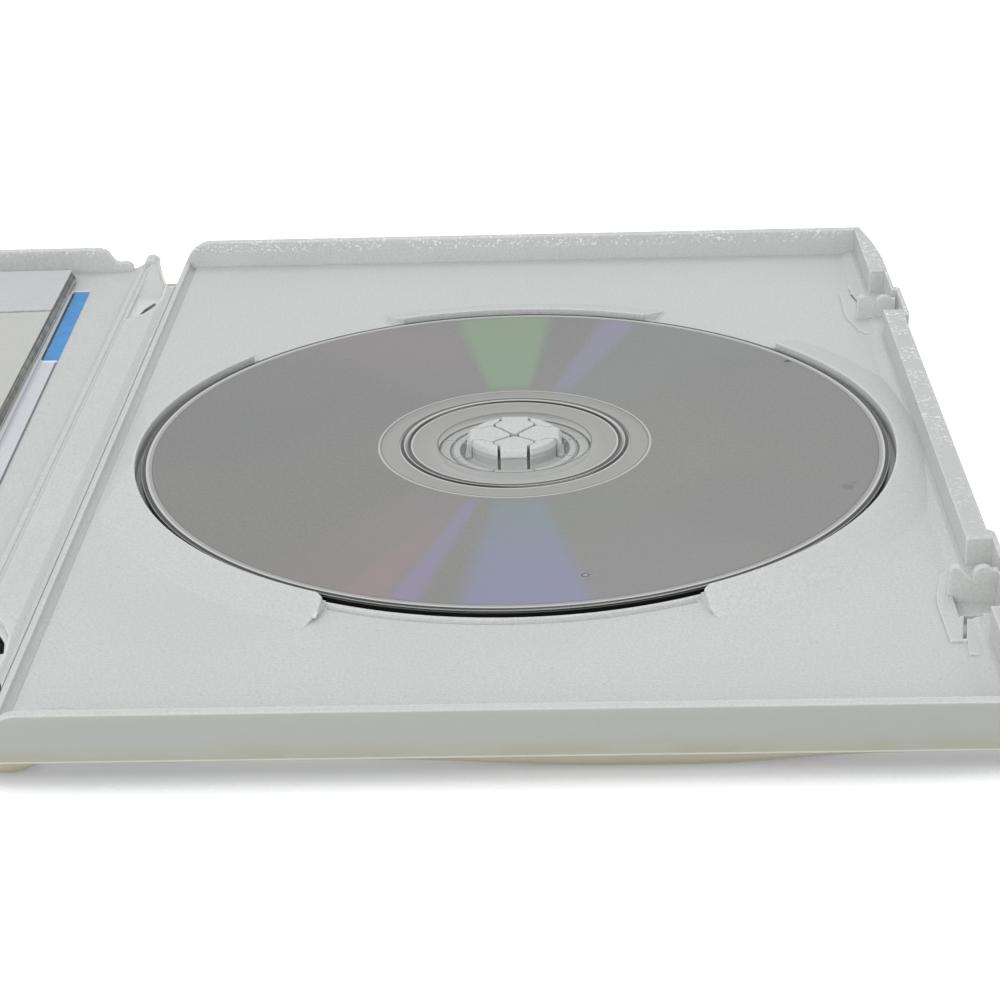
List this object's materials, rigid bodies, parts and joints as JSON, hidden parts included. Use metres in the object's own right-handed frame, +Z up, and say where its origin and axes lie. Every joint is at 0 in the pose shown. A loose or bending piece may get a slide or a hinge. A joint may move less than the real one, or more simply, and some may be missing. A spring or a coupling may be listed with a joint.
{
  "type": "game disc case",
  "caption": "Hinged plastic keep case lying open, with a disc on its flexing hub, clear outer sleeve with paper insert, and a manual in the cover half.",
  "frame": {"origin": "on the surface the open case lies on, under the middle of the spine", "axes": "+X from the spine towards the disc tray's opening edge, +Y along the spine towards the top end of the case, +Z up out of the open case"},
  "size_m": [0.2788, 0.19, 0.013],
  "materials": {
    "white_plastic": "white polypropylene, finely spark-eroded satin surface",
    "disc": "clear polycarbonate over a mirror layer, grey with soft spectral streaks",
    "clear_film": "thin clear film, slightly yellowed, glossy",
    "insert_paper": "coated paper, plain inside, soft plain colour fields outside",
    "manual_card": "silk coated card with one thin dark band",
    "manual_paper": "thin printed pages seen edge on",
    "staple_wire": "bright galvanised wire",
    "leaflet_paper": "thin folded paper, pale lilac with a saturated blue field at one end"
  },
  "bodies": {
    "tray_half": {"tray": "white_plastic", "disc": "disc", "sleeve_back": "clear_film", "insert_back": "insert_paper"},
    "spine_panel": {"spine": "white_plastic", "sleeve_spine": "clear_film", "insert_spine": "insert_paper"},
    "cover_half": {"front_cover": "white_plastic", "sleeve_front": "clear_film", "insert_front": "insert_paper", "manual_cover": "manual_card", "manual_pages": "manual_paper", "manual_staples": "staple_wire", "leaflet": "leaflet_paper"},
    "hub_petal_front": {"petal_front": "white_plastic"},
    "hub_petal_back": {"petal_back": "white_plastic"},
    "hub_petal_left": {"petal_left": "white_plastic"},
    "hub_petal_right": {"petal_right": "white_plastic"}
  },
  "joints": [
    {"name": "back_hinge", "type": "hinge", "parent": "tray_half", "child": "spine_panel", "pos_m": [0.00395, 0, 0.00495], "axis": [0, 1, 0], "range_deg": [0, 90]},
    {"name": "front_hinge", "type": "hinge", "parent": "spine_panel", "child": "cover_half", "pos_m": [-0.00395, 0, 0.00495], "axis": [0, 1, 0], "range_deg": [0, 90]},
    {"name": "petal_front_bend", "type": "hinge", "parent": "tray_half", "child": "hub_petal_front", "pos_m": [0.07035, -0.0076, 0.0032], "axis": [-1, 0, 0], "range_deg": [0, 6], "stiffness_Nm_per_rad": 0.05},
    {"name": "petal_back_bend", "type": "hinge", "parent": "tray_half", "child": "hub_petal_back", "pos_m": [0.07035, 0.0076, 0.0032], "axis": [1, 0, 0], "range_deg": [0, 6], "stiffness_Nm_per_rad": 0.05},
    {"name": "petal_left_bend", "type": "hinge", "parent": "tray_half", "child": "hub_petal_left", "pos_m": [0.06275, 0, 0.0032], "axis": [0, 1, 0], "range_deg": [0, 6], "stiffness_Nm_per_rad": 0.05},
    {"name": "petal_right_bend", "type": "hinge", "parent": "tray_half", "child": "hub_petal_right", "pos_m": [0.07795, 0, 0.0032], "axis": [0, -1, 0], "range_deg": [0, 6], "stiffness_Nm_per_rad": 0.05}
  ],
  "couplings": [
    {"joint": "petal_back_bend", "follows": "petal_front_bend", "ratio": 1},
    {"joint": "petal_left_bend", "follows": "petal_front_bend", "ratio": 1},
    {"joint": "petal_right_bend", "follows": "petal_front_bend", "ratio": 1}
  ]
}
